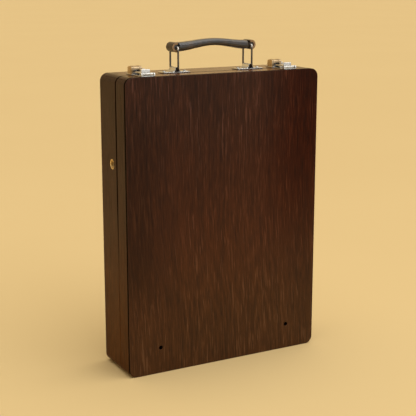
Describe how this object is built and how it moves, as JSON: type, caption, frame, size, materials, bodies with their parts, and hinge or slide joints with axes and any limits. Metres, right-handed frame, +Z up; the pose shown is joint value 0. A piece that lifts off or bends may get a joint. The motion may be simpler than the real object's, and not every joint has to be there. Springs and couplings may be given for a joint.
{
  "type": "box easel",
  "caption": "Wooden box easel closed as an upright case with rounded corners, hinged lid, leather carrying handle, top catches and brass side sockets.",
  "frame": {"origin": "centre of the footprint, on the standing face", "axes": "+X to the right, +Y from the lid to the back panel, +Z up"},
  "size_m": [0.324, 0.0904, 0.4935],
  "materials": {
    "walnut": "satin varnish, vertical grain",
    "beech": "oiled",
    "nickel": "polished nickel plate",
    "steel": "bright",
    "brass": "satin",
    "tin": "tinned sheet",
    "leather": "grained, satin"
  },
  "bodies": {
    "base": {"base_bottom_board": "walnut", "base_right_board": "walnut", "base_top_board": "walnut", "base_left_board": "walnut", "base_back_panel": "walnut", "socket_bush_left": "brass", "socket_bush_right": "brass", "hinge_base_leaf_left": "brass", "hinge_base_leaf_right": "brass", "hinge_pin_left": "brass", "hinge_pin_right": "brass", "stay_base_pivot_left": "brass", "stay_base_pivot_right": "brass", "handle_mount_left": "nickel", "handle_mount_right": "nickel", "latch_case_left": "nickel", "latch_case_right": "nickel", "latch_spring_left": "steel", "latch_spring_right": "steel", "divider_left": "beech", "divider_right": "beech", "tin_tray_left": "tin", "tin_tray_right": "tin", "cross_divider": "beech", "palette": "beech", "palette_ledge": "beech"},
    "lid": {"lid_bottom_board": "walnut", "lid_right_board": "walnut", "lid_top_board": "walnut", "lid_left_board": "walnut", "lid_front_panel": "walnut", "hinge_lid_leaf_left": "brass", "hinge_lid_leaf_right": "brass", "stay_lid_pivot_left": "brass", "stay_lid_pivot_right": "brass", "hasp_plate_left": "nickel", "hasp_plate_right": "nickel", "hasp_pin_left": "steel", "hasp_pin_right": "steel", "clamp_rail_left": "beech", "clamp_rail_right": "beech"},
    "clamp_bar": {"clamp_bar": "beech"},
    "handle_grip": {"handle_grip": "leather"},
    "stay_base_bar_left": {"stay_base_bar_left": "brass"},
    "stay_lid_bar_left": {"stay_lid_bar_left": "brass"},
    "stay_screw_left": {"stay_screw_left": "brass"},
    "hasp_left": {"hasp_left": "nickel"},
    "latch_button_left": {"latch_button_left": "nickel"},
    "handle_ring_left": {"handle_ring_left": "nickel"},
    "turn_button_left": {"turn_button_left": "brass"},
    "clamp_screw_left": {"clamp_screw_left": "brass"},
    "stay_base_bar_right": {"stay_base_bar_right": "brass"},
    "stay_lid_bar_right": {"stay_lid_bar_right": "brass"},
    "stay_screw_right": {"stay_screw_right": "brass"},
    "hasp_right": {"hasp_right": "nickel"},
    "latch_button_right": {"latch_button_right": "nickel"},
    "handle_ring_right": {"handle_ring_right": "nickel"},
    "turn_button_right": {"turn_button_right": "brass"},
    "clamp_screw_right": {"clamp_screw_right": "brass"}
  },
  "joints": [
    {"name": "lid_hinge", "type": "hinge", "parent": "base", "child": "lid", "pos_m": [0, -0.01122, 0.0025], "axis": [1, 0, 0], "range_deg": [0, 110]},
    {"name": "stay_base_bar_left_pivot", "type": "hinge", "parent": "base", "child": "stay_base_bar_left", "pos_m": [-0.1474, 0.00578, 0.1465], "axis": [1, 0, 0], "range_deg": [0, 110]},
    {"name": "stay_lid_bar_left_pivot", "type": "hinge", "parent": "lid", "child": "stay_lid_bar_left", "pos_m": [-0.1448, -0.02822, 0.1465], "axis": [1, 0, 0], "range_deg": [-110, 0]},
    {"name": "stay_screw_left_turn", "type": "hinge", "parent": "stay_lid_bar_left", "child": "stay_screw_left", "pos_m": [-0.1438, -0.01122, 0.2905], "axis": [1, 0, 0], "range_deg": [0, 180]},
    {"name": "hasp_left_lift", "type": "hinge", "parent": "lid", "child": "hasp_left", "pos_m": [-0.1245, -0.0392, 0.4485], "axis": [1, 0, 0], "range_deg": [0, 105]},
    {"name": "latch_button_left_press", "type": "slide", "parent": "base", "child": "latch_button_left", "axis": [-1, 0, 0], "range_m": [0, 0.003], "stiffness_N_per_m": 300, "deforming": ["latch_spring_left"]},
    {"name": "turn_button_left_turn", "type": "hinge", "parent": "base", "child": "turn_button_left", "pos_m": [-0.05, -0.0086, 0.423], "axis": [0, 1, 0], "range_deg": [0, 90]},
    {"name": "clamp_screw_left_turn", "type": "hinge", "parent": "clamp_bar", "child": "clamp_screw_left", "pos_m": [-0.1, -0.02465, 0.406], "axis": [0, -1, 0], "range_deg": [0, 180]},
    {"name": "stay_base_bar_right_pivot", "type": "hinge", "parent": "base", "child": "stay_base_bar_right", "pos_m": [0.1474, 0.00578, 0.1465], "axis": [1, 0, 0], "range_deg": [0, 110]},
    {"name": "stay_lid_bar_right_pivot", "type": "hinge", "parent": "lid", "child": "stay_lid_bar_right", "pos_m": [0.1448, -0.02822, 0.1465], "axis": [1, 0, 0], "range_deg": [-110, 0]},
    {"name": "stay_screw_right_turn", "type": "hinge", "parent": "stay_lid_bar_right", "child": "stay_screw_right", "pos_m": [0.1438, -0.01122, 0.2905], "axis": [-1, 0, 0], "range_deg": [0, 180]},
    {"name": "hasp_right_lift", "type": "hinge", "parent": "lid", "child": "hasp_right", "pos_m": [0.1135, -0.0392, 0.4485], "axis": [1, 0, 0], "range_deg": [0, 105]},
    {"name": "latch_button_right_press", "type": "slide", "parent": "base", "child": "latch_button_right", "axis": [-1, 0, 0], "range_m": [0, 0.003], "stiffness_N_per_m": 300, "deforming": ["latch_spring_right"]},
    {"name": "turn_button_right_turn", "type": "hinge", "parent": "base", "child": "turn_button_right", "pos_m": [0.05, -0.0086, 0.423], "axis": [0, -1, 0], "range_deg": [0, 90]},
    {"name": "clamp_screw_right_turn", "type": "hinge", "parent": "clamp_bar", "child": "clamp_screw_right", "pos_m": [0.1, -0.02465, 0.406], "axis": [0, -1, 0], "range_deg": [0, 180]},
    {"name": "clamp_slide", "type": "slide", "parent": "lid", "child": "clamp_bar", "axis": [0, 0, -1], "range_m": [0, 0.3]},
    {"name": "handle_swing", "type": "hinge", "parent": "base", "child": "handle_ring_left", "pos_m": [-0.0625, -0.0005, 0.4498], "axis": [0, 1, 0], "range_deg": [-55, 55]},
    {"name": "handle_ring_right_swing", "type": "hinge", "parent": "base", "child": "handle_ring_right", "pos_m": [0.0625, -0.0005, 0.4498], "axis": [0, 1, 0], "range_deg": [-55, 55]},
    {"name": "handle_grip_pivot", "type": "hinge", "parent": "handle_ring_left", "child": "handle_grip", "pos_m": [-0.0625, -0.0005, 0.482], "axis": [0, 1, 0], "range_deg": [-55, 55]}
  ],
  "couplings": [
    {"joint": "stay_base_bar_left_pivot", "follows": "lid_hinge", "ratio": 1},
    {"joint": "stay_lid_bar_left_pivot", "follows": "lid_hinge", "ratio": -1},
    {"joint": "stay_base_bar_right_pivot", "follows": "lid_hinge", "ratio": 1},
    {"joint": "stay_lid_bar_right_pivot", "follows": "lid_hinge", "ratio": -1},
    {"joint": "handle_ring_right_swing", "follows": "handle_swing", "ratio": 1},
    {"joint": "handle_grip_pivot", "follows": "handle_swing", "ratio": -1}
  ]
}
